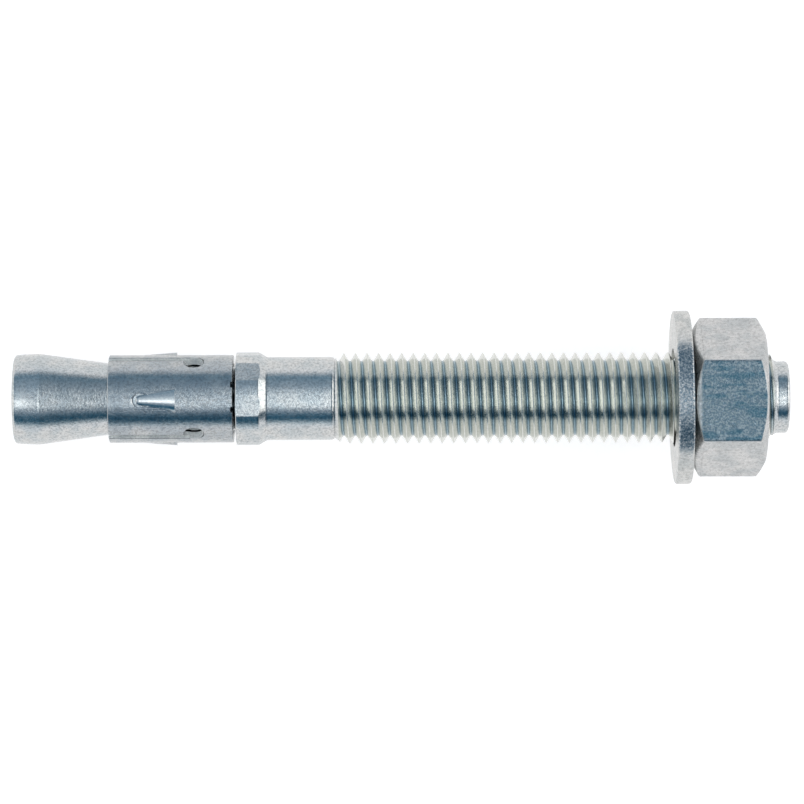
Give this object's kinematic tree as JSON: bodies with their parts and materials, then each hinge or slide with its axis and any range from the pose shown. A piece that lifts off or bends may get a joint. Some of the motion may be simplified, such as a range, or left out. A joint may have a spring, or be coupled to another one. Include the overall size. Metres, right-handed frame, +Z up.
{
  "type": "wedge anchor",
  "caption": "Steel expansion anchor bolt: cone end with a split clip round its neck, collar, threaded stud, flat washer and hex nut.",
  "frame": {"origin": "on the floor that the anchor lies on, under the middle of its box", "axes": "+X along the anchor from its cone to its nut, with the axis rising 3.4 degrees towards the nut as the anchor lies on the rims of its head and washer; +Z up"},
  "size_m": [0.1342, 0.03, 0.0301],
  "materials": {
    "zinc_stud": "bright bluish zinc plating on cold-formed steel, finely mottled",
    "zinc_sheet": "bright bluish zinc plating on sheet steel, speckled",
    "zinc_washer": "satin zinc plating on a punched washer, darker and rough on its cut rim",
    "zinc_nut": "satin zinc plating on a forged nut, mottled"
  },
  "bodies": {
    "stud": {"anchor_stud": "zinc_stud"},
    "clip": {"expansion_clip": "zinc_sheet"},
    "washer": {"flat_washer": "zinc_washer"},
    "nut": {"hex_nut": "zinc_nut"}
  },
  "joints": [
    {"name": "clip_turn", "type": "hinge", "parent": "stud", "child": "clip", "pos_m": [-0.03961, 0, 0.00927], "axis": [0.9983, 0, 0.0586], "continuous": true},
    {"name": "washer_slide", "type": "slide", "parent": "stud", "child": "washer", "axis": [0.9983, 0, 0.0586], "range_m": [-0.058, 0.01]},
    {"name": "nut_turn", "type": "hinge", "parent": "washer", "child": "nut", "pos_m": [0.05647, 0, 0.01491], "axis": [0.9983, 0, 0.0586], "range_deg": [-10440, 1800]}
  ],
  "couplings": [
    {"joint": "washer_slide", "follows": "nut_turn", "m_per_rad": 0.00031831}
  ]
}
